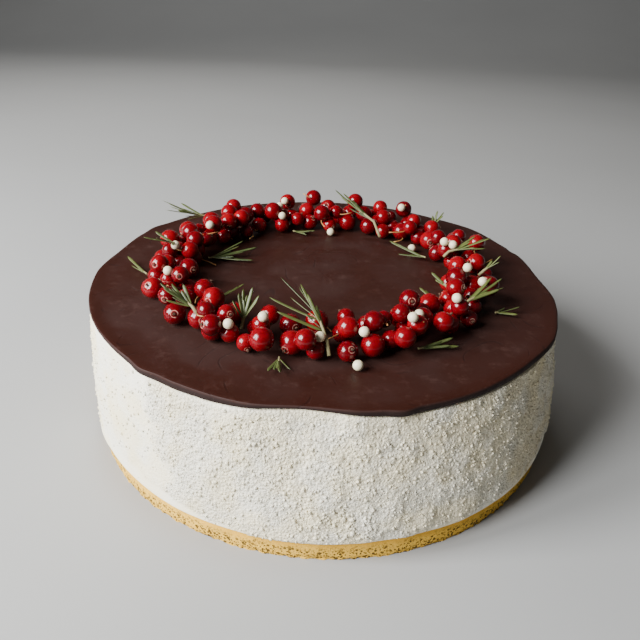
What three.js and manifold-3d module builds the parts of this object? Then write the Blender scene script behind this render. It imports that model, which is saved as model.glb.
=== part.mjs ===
// A round souffle cake in millimetres, +Z up, standing on z = 0 with its axis on the origin.
// From the bottom: a sponge base, a tall white souffle with a crumbed side, and a chocolate top.
// On the chocolate lies a wreath of red currants and sugar pearls, with rosemary sprigs tucked in.
// The front of the cake looks along -Y, and azimuths are degrees from +X towards +Y.
import * as THREE from 'three';
import { mergeVertices } from 'three/addons/utils/BufferGeometryUtils.js';
import Module from 'manifold-3d';

const wasm = await Module();
wasm.setup();

// Driving dimensions of the cake
const CHOCOLATE_RADIUS = 110;
const CHOCOLATE_TOP = 69;
const CHOCOLATE_THICKNESS = 3.2;
const SOUFFLE_TOP_RADIUS = 109.3;
const SOUFFLE_FOOT_RADIUS = 114.2;
const SPONGE_RADIUS = 112.6;
const SPONGE_HEIGHT = 12.4;
const GAP = 0.3;
const SOUFFLE_TOP = CHOCOLATE_TOP - CHOCOLATE_THICKNESS - GAP;
const AROUND = 84;

// The chocolate and all that lies on it sit a little off the axis of the sponge
const TOP_SHIFT_X = -2;
const TOP_SHIFT_Y = 1;

// Crumb coat on the souffle's side
const CRUMB_SIZE = 6;
const CRUMB_DEPTH = 0.85;
const SMOOTH_FOOT = 4;
const FOOT_FADE = 6;
const FOOT_ROUGHNESS = 0.25;
const SIDE_ROWS = 6;
const SIDE_BELLY = 0.8;

// The souffle's lower edge hangs a little over the sponge, and far over it on the left
const LIP_LEAST = 0.5;
const LIP_WAVE = 1.4;
const HANG_FADE = 14;
const SKIRT_AZIMUTH = 200;
const SKIRT_WIDTH = 18;
const SKIRT_DROP = 7;
const SPONGE_WAVE = 0.3;

// The hand-spread edge of the chocolate: azimuth, width in degrees, and how far it reaches out
const EDGE_WAVE = 0.4;
const EDGE_START = 90;
const EDGE_BEVEL = 0.9;
const EDGE_MARKS = [
  { at: 170, wide: 14, out: -1.7 },
  { at: 151, wide: 6, out: 1.3 },
  { at: 41, wide: 15, out: 2.6 },
  { at: 22, wide: 3, out: -0.8 },
  { at: 6, wide: 15, out: -2.2 },
  { at: -28, wide: 12, out: 1.4 },
  { at: -74, wide: 4, out: 1.3 },
  { at: -92, wide: 13, out: -2.2 },
  { at: -127, wide: 5, out: 1.2 },
];

// The wreath: limits of the berries' centres at every 45 degrees, from azimuth 0
const WREATH_INNER = [60, 61, 57, 60, 63, 64, 56, 59];
const WREATH_OUTER = [79, 80, 79, 80, 80, 86, 81, 78];
const BERRY_COUNT = 153;
const BERRY_RADIUS_LEAST = 3.7;
const BERRY_RADIUS_SPREAD = 1.3;
const BERRY_TRIES = 26;
const BERRY_SIDES = 5;
const BERRY_ROWS = 4;
const BERRY_SEED = 27207;
const PEARL_RADIUS = 2.1;
const PEARL_SIDES = 4;
const PEARL_ROWS = 4;
const CORE_INSET = 1.5;
const CORE_HEIGHT = 1.2;
const CORE_SLOPE = 0.4;
const CORE_AROUND = 42;
const STALK_REACH = 1.5;

// Sugar pearls: azimuth and distance from the axis
const PEARLS = [
  [161.5, 62], [-175.5, 71], [-156.5, 75], [-116, 81], [-107.5, 74], [115, 58], [113, 69],
  [110, 71], [87, 52], [-90, 76], [-80, 85], [-77, 75], [-62.5, 77], [-56.5, 71], [-42.5, 75],
  [-21.5, 76], [-17.5, 68], [35.5, 57], [8, 59], [6.5, 63], [55, 73],
];

// Rosemary: azimuth, distance and height above the chocolate of the fork, heading and rise of the
// sprig in degrees, length of the stem beyond the fork, number of needles, their length and spread.
// A fan turns the needles further than the stem
const SPRIGS = [
  { at: 143, far: 84, up: 9, turn: -165, rise: 14, stem: 6, needles: 6, long: 19, spread: 50 },
  { at: 169, far: 60, up: 1.2, turn: 12, rise: 5, stem: 4, needles: 5, long: 22, spread: 46 },
  { at: -175, far: 71, up: 16, turn: -150, rise: 20, stem: 3, needles: 4, long: 12, spread: 70 },
  { at: -173, far: 85, up: 1.2, turn: 133, rise: 4, stem: 3, needles: 2, long: 17, spread: 5 },
  { at: -130, far: 80, up: 12, turn: 150, rise: 22, stem: 3, needles: 5, long: 14, spread: 40 },
  { at: -142, far: 58, up: 3, turn: 57, rise: 1, stem: 3, needles: 2, long: 14, spread: 10 },
  { at: -117, far: 69, up: 7, turn: 75, rise: 50, stem: 2, needles: 6, long: 12, spread: 65 },
  { at: -101, far: 80, up: 1.2, turn: -90, rise: 3, stem: 3, needles: 3, long: 12, spread: 32 },
  { at: -88, far: 76, up: 8, turn: 108, rise: 18, stem: 14, needles: 5, long: 24, spread: -40, fan: 36 },
  { at: -60, far: 78, up: 1.2, turn: 8, rise: 6, stem: 3, needles: 4, long: 14, spread: 12 },
  { at: -27, far: 57, up: 2, turn: 125, rise: 5, stem: 2, needles: 3, long: 8, spread: 24 },
  { at: -23, far: 61, up: 8, turn: 138, rise: 20, stem: 2, needles: 2, long: 8, spread: 10 },
  { at: -33, far: 74, up: 9, turn: 35, rise: 12, stem: 5, needles: 5, long: 18, spread: 20 },
  { at: -24, far: 84, up: 1.2, turn: 5, rise: 3, stem: 2, needles: 3, long: 10, spread: 40 },
  { at: 5, far: 61, up: 13, turn: 5, rise: 15, stem: 5, needles: 6, long: 16, spread: 34 },
  { at: 44, far: 84, up: 6, turn: 50, rise: 40, stem: 2, needles: 4, long: 9, spread: 40 },
  { at: 21, far: 56, up: 3, turn: 145, rise: 1, stem: 3, needles: 3, long: 19, spread: 17 },
  { at: 60, far: 52, up: 12, turn: 128, rise: 12, stem: 13, needles: 5, long: 23, spread: 9 },
  { at: 109, far: 57, up: 1.2, turn: -28, rise: 3, stem: 2, needles: 3, long: 12, spread: 30 },
  { at: -8, far: 76, up: 11, turn: 5, rise: 38, stem: 2, needles: 3, long: 8, spread: 40 },
];
const NEEDLE_HALF_WIDTH = 0.95;
const NEEDLE_FLATNESS = 0.6;
const NEEDLE_SIDES = 3;
const NEEDLE_LEAST = 0.75;
const NEEDLE_LIFTS = [-4, 3, 10];
const NEEDLE_ROOM = 1.4;
const STEM_RADIUS = 0.85;
const STEM_BURIED = 9;
const STEM_SLOPE = 50;
const STEM_STEPS = 2;

const degrees = Math.PI / 180;
const BERRY_FLOOR = CHOCOLATE_TOP + GAP;

// Numbers from 0 to 1 in a fixed order, the same on every run
function repeatable(seed) {
  let state = seed;
  return () => {
    state = (state * 16807) % 2147483647;
    return state / 2147483647;
  };
}

function smoothstep(low, high, value) {
  const t = Math.min(1, Math.max(0, (value - low) / (high - low)));
  return t * t * (3 - 2 * t);
}

function near(a, b) {
  return Math.abs(a - b) < 0.001;
}

// The signed distance between two azimuths in degrees, from -180 to 180
function turnBetween(a, b) {
  return ((((a - b) % 360) + 540) % 360) - 180;
}

// A hump of height 1 that is 0 beyond its width on either side
function hump(azimuth, centre, width) {
  return 1 - smoothstep(0, width, Math.abs(turnBetween(azimuth, centre)));
}

// A random number from 0 to 1 for each crossing of a grid
function gridValue(i, j) {
  const wave = Math.sin(i * 127.1 + j * 311.7) * 43758.5453;
  return wave - Math.floor(wave);
}

// Soft lumps between 0 and 1 over a grid that closes after `period` cells in u
function lumps(u, v, period) {
  const i = Math.floor(u);
  const j = Math.floor(v);
  const fu = smoothstep(0, 1, u - i);
  const fv = smoothstep(0, 1, v - j);
  const left = i % period;
  const right = (i + 1) % period;
  const low = gridValue(left, j) * (1 - fu) + gridValue(right, j) * fu;
  const high = gridValue(left, j + 1) * (1 - fu) + gridValue(right, j + 1) * fu;
  return low * (1 - fv) + high * fv;
}

// A manifold solid from a closed geometry
function toSolid(geometry) {
  geometry.deleteAttribute('normal');
  geometry.deleteAttribute('uv');
  const merged = mergeVertices(geometry, 1e-4);
  const corners = [];
  const index = merged.index.array;
  for (let i = 0; i < index.length; i += 3) {
    const [a, b, c] = index.slice(i, i + 3);
    if (a !== b && b !== c && c !== a) corners.push(a, b, c);
  }
  const mesh = new wasm.Mesh({
    numProp: 3,
    vertProperties: new Float32Array(merged.attributes.position.array),
    triVerts: new Uint32Array(corners),
  });
  mesh.merge();
  return new wasm.Manifold(mesh);
}

function toMesh(name, solid, colour, roughness) {
  const { vertProperties, triVerts } = solid.getMesh();
  const geometry = new THREE.BufferGeometry();
  geometry.setAttribute('position', new THREE.BufferAttribute(vertProperties, 3));
  geometry.setIndex(new THREE.BufferAttribute(triVerts, 1));
  const flat = geometry.toNonIndexed();
  flat.computeVertexNormals();
  const material = new THREE.MeshStandardMaterial({ color: colour, roughness, metalness: 0 });
  const mesh = new THREE.Mesh(flat, material);
  mesh.name = name;
  return mesh;
}

// A turned body whose points are then moved by shape(radius, azimuth in degrees, z)
function turned(profile, shape, around = AROUND) {
  const points = profile.map(([radius, z]) => new THREE.Vector2(radius, z));
  const geometry = new THREE.LatheGeometry(points, around);
  geometry.rotateX(Math.PI / 2);
  const position = geometry.attributes.position;
  for (let i = 0; i < position.count; i += 1) {
    const x = position.getX(i);
    const y = position.getY(i);
    const azimuth = Math.atan2(y, x) / degrees;
    const [radius, z] = shape(Math.hypot(x, y), azimuth, position.getZ(i));
    position.setXYZ(i, radius * Math.cos(azimuth * degrees), radius * Math.sin(azimuth * degrees), z);
  }
  return toSolid(geometry);
}

// How far the souffle's lower edge hangs down over the side of the sponge
function lipDrop(azimuth) {
  const wave = lumps((azimuth + 360) / 12, 3, 30);
  return LIP_LEAST + LIP_WAVE * wave + SKIRT_DROP * hump(azimuth, SKIRT_AZIMUTH, SKIRT_WIDTH);
}

function makeSponge() {
  const edge = SPONGE_RADIUS;
  const profile = [
    [0, 0], [edge - 1, 0], [edge, 1], [edge, SPONGE_HEIGHT], [0, SPONGE_HEIGHT],
  ];
  return turned(profile, (radius, azimuth, z) => {
    if (radius < 1) return [radius, z];
    const uneven = SPONGE_WAVE * (2 * lumps((azimuth + 360) / 5, z / 4, 72) - 1);
    return [radius + uneven * smoothstep(0, 1, z), z];
  });
}

// Radius of the souffle's side at a height, before the crumbs
function sideRadius(z) {
  const t = (z - SPONGE_HEIGHT) / (SOUFFLE_TOP - SPONGE_HEIGHT);
  const belly = SIDE_BELLY * Math.sin(Math.PI * t);
  return SOUFFLE_FOOT_RADIUS + (SOUFFLE_TOP_RADIUS - SOUFFLE_FOOT_RADIUS) * t + belly;
}

// The souffle stands on the sponge, and a thin lip of it hangs round the sponge's upper edge
function souffleProfile() {
  const bed = SPONGE_HEIGHT + GAP;
  const clear = SPONGE_RADIUS + SPONGE_WAVE + GAP;
  const profile = [[0, bed], [clear, bed], [clear + 0.1, SPONGE_HEIGHT - 0.2]];
  for (let row = 0; row <= SIDE_ROWS; row += 1) {
    const z = SPONGE_HEIGHT + ((SOUFFLE_TOP - SPONGE_HEIGHT - 0.6) * row) / SIDE_ROWS;
    profile.push([sideRadius(z), z]);
  }
  profile.push([SOUFFLE_TOP_RADIUS - 1.5, SOUFFLE_TOP], [0, SOUFFLE_TOP]);
  return profile;
}

function makeSouffle() {
  const cells = Math.round((2 * Math.PI * SOUFFLE_FOOT_RADIUS) / CRUMB_SIZE);
  const side = sideRadius(SPONGE_HEIGHT) - 0.2;
  const body = turned(souffleProfile(), (radius, azimuth, z) => {
    if (near(z, SPONGE_HEIGHT + GAP) || near(z, SOUFFLE_TOP)) return [radius, z];
    const hang = 1 - smoothstep(SPONGE_HEIGHT, SPONGE_HEIGHT + HANG_FADE, z);
    const settled = z - hang * lipDrop(azimuth);
    if (radius < side) return [radius, settled];
    const bump = 2 * lumps(((azimuth + 360) / 360) * cells, z / CRUMB_SIZE, cells) - 1;
    const rough = smoothstep(SMOOTH_FOOT, SMOOTH_FOOT + FOOT_FADE, z - SPONGE_HEIGHT);
    const crumb = CRUMB_DEPTH * bump * (FOOT_ROUGHNESS + (1 - FOOT_ROUGHNESS) * rough);
    const drawnIn = Math.min(0, edgeReach(azimuth)) * smoothstep(SPONGE_HEIGHT, SOUFFLE_TOP, z);
    return [radius + crumb + drawnIn, settled];
  });
  return body.warp(leanOver);
}

// The souffle leans by the shift of the chocolate between its foot and its top
function leanOver(point) {
  const share = smoothstep(SPONGE_HEIGHT + GAP, SOUFFLE_TOP, point[2]);
  point[0] += TOP_SHIFT_X * share;
  point[1] += TOP_SHIFT_Y * share;
}

// How far the edge of the chocolate reaches out or falls back at an azimuth
function edgeReach(azimuth) {
  let reach = 2 * EDGE_WAVE * (lumps((azimuth + 360) / 15, 7, 24) - 0.5);
  for (const mark of EDGE_MARKS) {
    reach += mark.out * hump(azimuth, mark.at, mark.wide);
  }
  return reach;
}

function makeChocolate() {
  const low = CHOCOLATE_TOP - CHOCOLATE_THICKNESS;
  const profile = [
    [0, low], [CHOCOLATE_RADIUS - EDGE_BEVEL, low],
    [CHOCOLATE_RADIUS, low + EDGE_BEVEL], [CHOCOLATE_RADIUS, CHOCOLATE_TOP - EDGE_BEVEL],
    [CHOCOLATE_RADIUS - EDGE_BEVEL, CHOCOLATE_TOP], [0, CHOCOLATE_TOP],
  ];
  return turned(profile, (radius, azimuth, z) => {
    return [radius + edgeReach(azimuth) * smoothstep(EDGE_START, CHOCOLATE_RADIUS, radius), z];
  });
}

// A value of a list given at every 45 degrees, eased from one entry to the next
function aroundWreath(list, azimuth) {
  const place = (((azimuth % 360) + 360) % 360) / 45;
  const i = Math.floor(place) % list.length;
  const t = smoothstep(0, 1, place - Math.floor(place));
  return list[i] * (1 - t) + list[(i + 1) % list.length] * t;
}

// A unit vector from a heading and a rise in degrees
function direction(heading, rise) {
  const flat = Math.cos(rise * degrees);
  const x = flat * Math.cos(heading * degrees);
  const y = flat * Math.sin(heading * degrees);
  return new THREE.Vector3(x, y, Math.sin(rise * degrees));
}

// The fork of a sprig, the far end of its stem, and its needles left and right of it by turns
function layOut(sprig) {
  const fork = direction(sprig.at, 0).multiplyScalar(sprig.far).setZ(CHOCOLATE_TOP + sprig.up);
  const along = direction(sprig.turn, sprig.rise);
  const needles = [];
  for (let n = 0; n < sprig.needles; n += 1) {
    const share = n / (sprig.needles - 1);
    const side = n % 2 === 0 ? 1 : -1;
    const heading = sprig.turn + (sprig.fan ?? 0) + side * sprig.spread * (1 - 0.8 * share);
    const rise = sprig.rise + NEEDLE_LIFTS[n % NEEDLE_LIFTS.length];
    const long = sprig.long * (NEEDLE_LEAST + (1 - NEEDLE_LEAST) * share);
    const foot = fork.clone().addScaledVector(along, sprig.stem * (0.15 + 0.8 * share));
    const tip = foot.clone().addScaledVector(direction(heading, rise), long);
    needles.push({ heading, rise, long, foot, tip });
  }
  return { fork, needles, end: fork.clone().addScaledVector(along, sprig.stem) };
}

// Whether a ball keeps off every needle and stem
function leavesRoom(ball, lines) {
  const centre = new THREE.Vector3(ball.x, ball.y, ball.z);
  const nearest = new THREE.Vector3();
  return lines.every((line) => {
    line.closestPointToPoint(centre, true, nearest);
    return nearest.distanceTo(centre) > ball.radius + NEEDLE_ROOM;
  });
}

// The height at which a ball comes to rest above (x, y), and the ball that carries it
function restOn(balls, x, y, radius) {
  let z = BERRY_FLOOR + radius;
  let under = null;
  for (const ball of balls) {
    const touch = radius + ball.radius;
    const across = (x - ball.x) ** 2 + (y - ball.y) ** 2;
    if (across >= touch * touch) continue;
    const height = ball.z + Math.sqrt(touch * touch - across);
    if (height > z) {
      z = height;
      under = ball;
    }
  }
  return { z, under };
}

function ballAt(balls, azimuth, far, radius) {
  const x = far * Math.cos(azimuth * degrees);
  const y = far * Math.sin(azimuth * degrees);
  return { x, y, radius, ...restOn(balls, x, y, radius) };
}

// Currants dropped one by one into the lowest of a few places in the ring, clear of the sprigs
function placeBerries(lines) {
  const random = repeatable(BERRY_SEED);
  const berries = [];
  for (let n = 0; n < BERRY_COUNT; n += 1) {
    const radius = BERRY_RADIUS_LEAST + BERRY_RADIUS_SPREAD * random();
    let best = null;
    for (let t = 0; t < BERRY_TRIES; t += 1) {
      const azimuth = 360 * random();
      const inner = aroundWreath(WREATH_INNER, azimuth);
      const outer = aroundWreath(WREATH_OUTER, azimuth);
      const far = inner + (outer - inner) * random();
      const ball = ballAt(berries, azimuth, far, radius);
      const lower = best === null || ball.z < best.z;
      if (lower && leavesRoom(ball, lines)) best = ball;
    }
    if (best !== null) berries.push(best);
  }
  return berries;
}

function placePearls(berries) {
  const balls = [...berries];
  for (const [azimuth, far] of PEARLS) {
    balls.push(ballAt(balls, azimuth, far, PEARL_RADIUS));
  }
  return balls.slice(berries.length);
}

// A faceted ball. One that lies on another points its lower tip into it, as a stalk does
function ballSolid(ball, sides, rows, grow) {
  const radius = ball.radius + grow;
  const geometry = new THREE.SphereGeometry(radius, sides, rows);
  geometry.rotateY(ball.x + ball.y);
  const down = new THREE.Vector3(0, 0, -1);
  if (ball.under !== null) {
    const position = geometry.attributes.position;
    for (let i = 0; i < position.count; i += 1) {
      if (position.getY(i) < -0.999 * radius) position.setY(i, -radius - STALK_REACH);
    }
    down.set(ball.under.x - ball.x, ball.under.y - ball.y, ball.under.z - ball.z).normalize();
  }
  const turn = new THREE.Quaternion().setFromUnitVectors(new THREE.Vector3(0, -1, 0), down);
  geometry.applyQuaternion(turn);
  geometry.translate(ball.x, ball.y, ball.z);
  return toSolid(geometry);
}

// The low ring that fills the wreath between its lower berries
function coreSolid(grow) {
  const low = BERRY_FLOOR - grow;
  const high = BERRY_FLOOR + CORE_HEIGHT + grow;
  const inside = WREATH_INNER[0];
  const outside = WREATH_OUTER[0];
  const profile = [[inside, low], [outside, low], [outside, high], [inside, high], [inside, low]];
  const shape = (radius, azimuth, z) => {
    const inset = CORE_INSET - grow + (near(z, low) ? 0 : CORE_SLOPE);
    if (near(radius, inside)) return [aroundWreath(WREATH_INNER, azimuth) + inset, z];
    return [aroundWreath(WREATH_OUTER, azimuth) - inset, z];
  };
  return turned(profile, shape, CORE_AROUND);
}

function joined(solids) {
  return wasm.Manifold.union(solids);
}

// The bodies that a cut or a join leaves, the largest first
function bodiesOf(solid) {
  return solid.decompose().sort((a, b) => b.volume() - a.volume());
}

// A faceted ball for each currant and each pearl
function ballSolids(berries, pearls, grow) {
  return [
    ...berries.map((ball) => ballSolid(ball, BERRY_SIDES, BERRY_ROWS, grow)),
    ...pearls.map((ball) => ballSolid(ball, PEARL_SIDES, PEARL_ROWS, grow)),
  ];
}

// The wreath, and after it each pearl that lies on the chocolate without touching it
function makeWreath(berries, pearls) {
  return bodiesOf(joined([coreSolid(0), ...ballSolids(berries, pearls, 0)]));
}

// The room that the wreath and the chocolate take, with the gap that the sprigs keep to them
function keptClear(berries, pearls) {
  const floor = new THREE.CylinderGeometry(CHOCOLATE_RADIUS, CHOCOLATE_RADIUS, CHOCOLATE_TOP, AROUND);
  floor.rotateX(Math.PI / 2);
  floor.translate(0, 0, BERRY_FLOOR - CHOCOLATE_TOP / 2);
  return joined([toSolid(floor), coreSolid(GAP), ...ballSolids(berries, pearls, GAP)]);
}

// A narrow pointed leaf with a flat section
function needleSolid({ foot, heading, rise, long }) {
  const points = [
    new THREE.Vector2(0, 0), new THREE.Vector2(NEEDLE_HALF_WIDTH, 0.22 * long),
    new THREE.Vector2(NEEDLE_HALF_WIDTH, 0.75 * long), new THREE.Vector2(0, long),
  ];
  const geometry = new THREE.LatheGeometry(points, NEEDLE_SIDES);
  geometry.scale(1, 1, NEEDLE_FLATNESS);
  const along = direction(heading, rise);
  const side = direction(heading + 90, 0);
  const up = new THREE.Vector3().crossVectors(side, along);
  geometry.applyMatrix4(new THREE.Matrix4().makeBasis(side, along, up));
  geometry.translate(foot.x, foot.y, foot.z);
  return toSolid(geometry);
}

// The woody stem: up out of the berries to the fork, and on to its end
function stemSolid(buried, fork, end) {
  const extrudePath = new THREE.QuadraticBezierCurve3(buried, fork, end);
  const section = new THREE.Shape();
  section.absarc(0, 0, STEM_RADIUS, 0, 2 * Math.PI);
  const options = { steps: STEM_STEPS, curveSegments: 2, extrudePath, bevelEnabled: false };
  return toSolid(new THREE.ExtrudeGeometry(section, options));
}

// The stem and needles in one piece, less whatever would touch the wreath
function makeSprig(sprig, clear) {
  const { fork, end, needles } = layOut(sprig);
  const buried = fork.clone().addScaledVector(direction(sprig.turn, STEM_SLOPE), -STEM_BURIED);
  const solids = [stemSolid(buried, fork, end), ...needles.map(needleSolid)];
  return bodiesOf(joined(solids).subtract(clear))[0];
}

const lines = SPRIGS.flatMap((sprig) => {
  const { fork, end, needles } = layOut(sprig);
  return [new THREE.Line3(fork, end), ...needles.map(({ foot, tip }) => new THREE.Line3(foot, tip))];
});
const berries = placeBerries(lines);
const pearls = placePearls(berries);
const clear = keptClear(berries, pearls);

const cake = new THREE.Group();
cake.add(toMesh('sponge_base', makeSponge(), 0xd9a441, 0.85));
cake.add(toMesh('souffle', makeSouffle(), 0xefe9dc, 0.9));

const topping = new THREE.Group();
topping.position.set(TOP_SHIFT_X, TOP_SHIFT_Y, 0);
topping.add(toMesh('chocolate_top', makeChocolate(), 0x3b1f1a, 0.5));
const [wreath, ...loosePearls] = makeWreath(berries, pearls);
topping.add(toMesh('currant_wreath', wreath, 0xa80f12, 0.2));
loosePearls.forEach((pearl, index) => {
  topping.add(toMesh(`sugar_pearl_${index + 1}`, pearl, 0xf1ead8, 0.4));
});
SPRIGS.forEach((sprig, index) => {
  const name = `rosemary_sprig_${String(index + 1).padStart(2, '0')}`;
  topping.add(toMesh(name, makeSprig(sprig, clear), 0x4f6b33, 0.6));
});
cake.add(topping);

export default cake;
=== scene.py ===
# %% [markdown]
# # A souffle cake with a wreath of red currants
# A round cake of three layers stands on a pale floor: a yellow sponge, a tall white souffle with
# a crumbed side, and a thin plate of dark chocolate. Red currants, sugar pearls and rosemary lie
# on it in a ring. The file opens the packed model, gives each layer and each topping a finely
# modelled piece in its place, and ends with the lights and the camera. All sizes of the cake are
# in millimetres, because a baker measures that way, and one factor turns them into metres.

# %% Open the frame
import math

import bpy
import numpy as np
from mathutils import Matrix, Vector


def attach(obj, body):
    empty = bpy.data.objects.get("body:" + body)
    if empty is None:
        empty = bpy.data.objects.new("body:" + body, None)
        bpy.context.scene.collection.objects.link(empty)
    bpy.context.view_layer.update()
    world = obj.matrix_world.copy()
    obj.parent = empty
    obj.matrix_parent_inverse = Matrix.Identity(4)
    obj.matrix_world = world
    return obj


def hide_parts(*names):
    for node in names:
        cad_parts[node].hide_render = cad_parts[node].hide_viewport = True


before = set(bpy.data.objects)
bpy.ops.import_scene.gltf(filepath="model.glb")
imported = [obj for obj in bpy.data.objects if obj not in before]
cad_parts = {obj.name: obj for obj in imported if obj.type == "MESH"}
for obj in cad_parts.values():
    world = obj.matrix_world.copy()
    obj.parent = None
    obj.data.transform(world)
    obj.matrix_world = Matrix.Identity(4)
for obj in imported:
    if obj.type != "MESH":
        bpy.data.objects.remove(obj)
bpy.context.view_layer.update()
MM = 0.001

# %% [markdown]
# No two edges or berries of a real cake are alike, yet each run has to bake the same cake. Python's
# own random numbers would do, but the solids come from another language, so both use this small
# generator, which starts from a written number. `lumps` is the soft noise behind all uneven edges:
# a random number for every crossing of a grid, eased from one crossing to the next. Its grid closes
# on itself after `period` cells, so the noise has no seam.

# %% Numbers that repeat
THROW_FACTOR, THROW_PRIME = 16807, 2147483647
GRID_WAVES, GRID_STRETCH = (127.1, 311.7), 43758.5453


def repeatable(seed):
    state = seed
    while True:
        state = state * THROW_FACTOR % THROW_PRIME
        yield state / THROW_PRIME


def ease(low, high, value):
    t = np.clip((value - low) / (high - low), 0, 1)
    return t * t * (3 - 2 * t)


def grid_value(i, j):
    wave = np.sin(i * GRID_WAVES[0] + j * GRID_WAVES[1]) * GRID_STRETCH
    return wave - np.floor(wave)


def lumps(u, v, period):
    i, j = np.floor(u), np.floor(v)
    fu, fv = ease(0, 1, u - i), ease(0, 1, v - j)
    left, right = i % period, (i + 1) % period
    low = grid_value(left, j) * (1 - fu) + grid_value(right, j) * fu
    high = grid_value(left, j + 1) * (1 - fu) + grid_value(right, j + 1) * fu
    return low * (1 - fv) + high * fv


print("three lumps:", [round(float(lumps(u, 0.5, 30)), 3) for u in (0.2, 7.5, 21.4)])

# %% [markdown]
# Places on a round cake are given by their azimuth: 0 is the right, 90 the back and -90 the front.
# X and Y would do as well, but an angle and a distance from the axis are what a baker sees on a
# turntable. `hump` marks a stretch of the edge: it is 1 at its centre and falls softly to 0 at its
# ends.

# %% Places around the cake
def azimuths(count):
    azimuth = np.arange(count) * 360 / count
    return np.where(azimuth > 180, azimuth - 360, azimuth)


def turn_between(a, b):
    return (a - b + 180) % 360 - 180


def hump(azimuth, centre, width):
    return 1 - ease(0, width, abs(turn_between(azimuth, centre)))


def on_circle(radius, azimuth, z):
    angle = np.radians(azimuth)
    return np.stack(np.broadcast_arrays(radius * np.cos(angle), radius * np.sin(angle), z), -1)


print("a hump beside its centre:", round(float(hump(-85, -90, 15)), 3))

# %% [markdown]
# Crumbs are little round stones that press against each other, with sharp valleys between them. A
# soft noise makes waves instead, and a Voronoi texture in a Displace modifier keeps its heights to
# itself, while the loose crumbs have to know how high they lie. So a grid with one stone thrown
# into each cell is worked out here: for every point the nearest stone is found among the nine cells
# around it, and the height is a dome over its distance.

# %% Pebbles for the crumbs
STONE_MARGIN, STONE_RANGE, STONE_REACH = 0.15, 0.7, 0.8


def pebbles(u, v, period, salt=0):
    i, j = np.floor(u), np.floor(v)
    nearest = np.full(np.broadcast(u, v).shape, 9.0)
    for di in (-1, 0, 1):
        for dj in (-1, 0, 1):
            ci, cj = i + di, j + dj
            px = ci + STONE_MARGIN + STONE_RANGE * grid_value(ci % period + salt, cj + 57)
            py = cj + STONE_MARGIN + STONE_RANGE * grid_value(ci % period + salt + 91, cj)
            nearest = np.minimum(nearest, (u - px) ** 2 + (v - py) ** 2)
    return np.sqrt(np.clip(1 - nearest / STONE_REACH, 0, 1))


print("height over one stone:", round(float(pebbles(np.array(3.4), np.array(2.2), 9)), 3))

# %% [markdown]
# Every piece is one mesh made from arrays, in the frame of the solids. Blender's operators could
# add and edit meshes too, but they need the right mode and selection, and they are slow with a
# hundred thousand faces. `make_piece` takes points in millimetres and rows of corner numbers, hangs
# the piece on the cake's one body, and says which of the plain solids it replaces.

# %% Meshes from arrays
def make_piece(name, points, faces, finish, replaced=(), values=None):
    mesh = bpy.data.meshes.new(name)
    corners = [len(row) for group in faces for row in group]
    flat = np.concatenate([np.asarray(group).ravel() for group in faces])
    mesh.vertices.add(len(points))
    mesh.vertices.foreach_set("co", (np.asarray(points) * MM).astype(np.float32).ravel())
    mesh.loops.add(len(flat))
    mesh.loops.foreach_set("vertex_index", flat.astype(np.int32))
    mesh.polygons.add(len(corners))
    starts = np.concatenate([[0], np.cumsum(corners)[:-1]]).astype(np.int32)
    mesh.polygons.foreach_set("loop_start", starts)
    mesh.polygons.foreach_set("use_smooth", np.full(len(corners), True))
    for label, numbers in (values or {}).items():
        layer = mesh.attributes.new(label, "FLOAT", "POINT")
        layer.data.foreach_set("value", np.asarray(numbers, np.float32))
    mesh.update(calc_edges=True)
    mesh.validate()
    mesh.materials.append(finish.material)
    piece = bpy.data.objects.new(name, mesh)
    bpy.context.scene.collection.objects.link(piece)
    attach(piece, "root")
    if replaced:
        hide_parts(*replaced)
    print(name, "has", len(points), "points and", len(corners), "faces")


# %% [markdown]
# Layers, berries, stalks and needles all have one thing in common: a closed section that changes on
# its way along a line. A Screw or Curve modifier draws such a body when the section stays the same,
# but here every ring has its own form. `turned` joins rings of points to quads, and closes the
# first and the last ring to a point.

# %% Turned bodies
def turned(rings):
    rows, around = rings.shape[:2]
    points = rings.reshape(-1, 3)
    row, column = np.meshgrid(np.arange(rows - 1), np.arange(around), indexing="ij")
    a = (row * around + column).ravel()
    b = (row * around + (column + 1) % around).ravel()
    quads = np.stack([a, b, b + around, a + around], 1)
    ends = np.array([rings[0].mean(0), rings[-1].mean(0)])
    first, last = len(points), len(points) + 1
    edge = np.arange(around)
    following = (edge + 1) % around
    below = np.stack([following, edge, np.full(around, first)], 1)
    top = (rows - 1) * around
    above = np.stack([top + edge, top + following, np.full(around, last)], 1)
    return np.concatenate([points, ends]), [quads, below, above]


prism = turned(np.array([on_circle(1, azimuths(3), z) for z in (0, 1)]))
print("a turned prism has", len(prism[0]), "points")

# %% [markdown]
# Finishes are written as sums. `Wire` wraps one output of a shader node, and the usual signs on it
# add a Math node each, so `1 - mask` or `0.3 * noise + 0.1` can be read like any other sum. Adding
# and linking every node by hand gives the same tree, but hides what it says. Colours are mixed with
# Mix nodes, because a Math node would turn them grey.

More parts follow.
